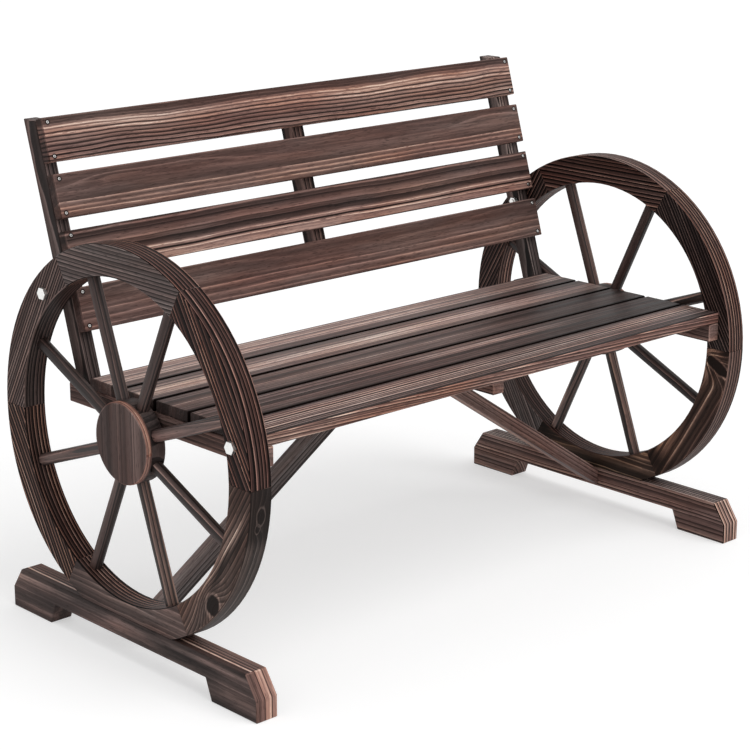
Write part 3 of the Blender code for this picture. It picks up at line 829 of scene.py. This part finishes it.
def add_screw(form, matrix):
    """A screw head, domed, with a cross recess, on the plane of the matrix and with its axis along z."""
    sides = SCREW_SIDES
    rings = (
        (SCREW_RADIUS * 0.55, -SCREW_DEPTH),
        (SCREW_RADIUS, -SCREW_DOME * 0.3),
        (SCREW_RADIUS * 0.96, SCREW_DOME * 0.4),
        (SCREW_RADIUS * 0.82, SCREW_DOME),
    )
    loops = []
    for radius, height in rings:
        turns = [2 * math.pi * i / sides for i in range(sides)]
        points = [Vector((radius * math.cos(t), radius * math.sin(t), height)) for t in turns]
        loops.append([form.verts.new(matrix @ point) for point in points])
    for low, high in zip(loops, loops[1:]):
        for i in range(sides):
            form.faces.new((low[i], low[(i + 1) % sides], high[(i + 1) % sides], high[i]))
    form.faces.new(reversed(loops[0]))
    reach, half = RECESS_REACH, RECESS_WIDTH / 2
    arm = [(reach, -half), (reach, half), (half, half)]
    outline = []
    for quarter in range(4):
        turn = Matrix.Rotation(quarter * math.pi / 2, 2)
        outline += [turn @ Vector(point) for point in arm]
    mouth = [form.verts.new(matrix @ Vector((p.x, p.y, SCREW_DOME))) for p in outline]
    bottom = SCREW_DOME - RECESS_DEPTH
    floor = [form.verts.new(matrix @ Vector((p.x * 0.8, p.y * 0.8, bottom))) for p in outline]
    last = loops[-1]
    top = [form.edges.get((a, b)) or form.edges.new((a, b)) for a, b in zip(last, last[1:] + last[:1])]
    rim = [form.edges.new((a, b)) for a, b in zip(mouth, mouth[1:] + mouth[:1])]
    bmesh.ops.triangle_fill(form, use_beauty=True, edges=top + rim, normal=matrix.to_3x3() @ UP)
    for i in range(len(mouth)):
        form.faces.new((mouth[i - 1], mouth[i], floor[i], floor[i - 1]))
    form.faces.new(floor)


def dress_back(plate):
    lean = post_lean()
    form = timber_form("back_slat_1")
    _, half = board_frame(form, RIGHT, lean)
    form.free()
    corner = (half.x - SCREW_INSET, half.y - SCREW_EDGE)
    for k, material in enumerate(back_boards(corner)):
        matrix, half = dress(f"back_slat_{k + 1}", material, lean, RIGHT, 130 + 3.7 * (k % 3))
        screws = bmesh.new()
        for x in (-corner[0], corner[0]):
            for y in (-corner[1], corner[1]):
                add_screw(screws, matrix @ Matrix.Translation((x, y, half.z)))
        bmesh.ops.recalc_face_normals(screws, faces=screws.faces)
        add_piece(f"back_slat_{k + 1}_screws", screws, [plate])


def dress_bolts(plate):
    for name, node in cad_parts.items():
        if name.endswith(("_bolt", "_nut")):
            node.data.materials.clear()
            node.data.materials.append(plate)


# Floor, light and camera
def path_mix(tree, plain, shown):
    """The plain shader for light, and the shown one for camera, mirror and glass rays."""
    path = put(tree, "LightPath").outputs
    mirror = calc(tree, "MAXIMUM", path["Is Glossy Ray"], path["Is Transmission Ray"])
    seen = calc(tree, "MAXIMUM", path["Is Camera Ray"], mirror)
    return put(tree, "MixShader", {0: seen, 1: plain, 2: shown}).outputs[0]


def make_floor():
    mesh = bpy.data.meshes.new("floor")
    half = FLOOR_HALF
    corners = [(-half, -half, 0), (half, -half, 0), (half, half, 0), (-half, half, 0)]
    mesh.from_pydata(corners, [], [(0, 1, 2, 3)])
    floor = bpy.data.objects.new("floor", mesh)
    bpy.context.collection.objects.link(floor)
    material = bpy.data.materials.new("pale_floor")
    material.use_nodes = True
    tree = material.node_tree
    tree.nodes.remove(tree.nodes["Principled BSDF"])
    plain = put(tree, "BsdfDiffuse", {"Color": FLOOR_GREY}).outputs[0]
    bright = put(tree, "BsdfDiffuse", {"Color": FLOOR_SEEN_GREY}).outputs[0]
    glow = put(tree, "Emission", {"Color": WHITE, "Strength": FLOOR_GLOW}).outputs[0]
    shown = put(tree, "AddShader", {0: bright, 1: glow}).outputs[0]
    join(tree, path_mix(tree, plain, shown), tree.nodes["Material Output"].inputs["Surface"])
    mesh.materials.append(material)


def make_world():
    world = bpy.data.worlds.new("studio")
    bpy.context.scene.world = world
    world.use_nodes = True
    tree = world.node_tree
    plain = tree.nodes["Background"]
    plain.inputs["Color"].default_value = WHITE
    plain.inputs["Strength"].default_value = WORLD_LIGHT
    shown = put(tree, "Background", {"Color": WHITE, "Strength": 1.0})
    light = path_mix(tree, plain.outputs[0], shown.outputs[0])
    join(tree, light, tree.nodes["World Output"].inputs["Surface"])


def make_lamp(name, place, spread, power):
    """A soft sun that shines from its place towards the origin."""
    lamp = bpy.data.lights.new(name, "SUN")
    lamp.angle = math.radians(spread)
    lamp.energy = power
    holder = bpy.data.objects.new(name, lamp)
    bpy.context.collection.objects.link(holder)
    holder.location = place
    holder.rotation_euler = (-Vector(place)).to_track_quat("-Z", "Y").to_euler()


def make_camera():
    lens = bpy.data.cameras.new("camera")
    lens.sensor_width = CAMERA_SENSOR
    lens.lens = CAMERA_LENS
    lens.shift_x, lens.shift_y = CAMERA_SHIFT
    camera = bpy.data.objects.new("camera", lens)
    bpy.context.collection.objects.link(camera)
    camera.location = CAMERA_PLACE
    camera.rotation_euler = (Vector(CAMERA_AIM) - Vector(CAMERA_PLACE)).to_track_quat("-Z", "Y").to_euler()
    bpy.context.scene.camera = camera


make_camera()
make_floor()
make_world()
make_lamp("key", (0.6, -2.4, 3.2), 45.0, 1.4)
make_lamp("fill", (-3.0, -1.2, 2.4), 90.0, 0.35)
bpy.context.scene.view_settings.view_transform = "Standard"

zinc_plate = zinc("zinc_plate", tint(214, 214, 212), tint(246, 246, 244))
screw_plate = zinc("screw_plate", tint(170, 168, 164), tint(240, 238, 236))
dress_wheels()
dress_frame()
dress_seat()
dress_back(screw_plate)
dress_bolts(zinc_plate)
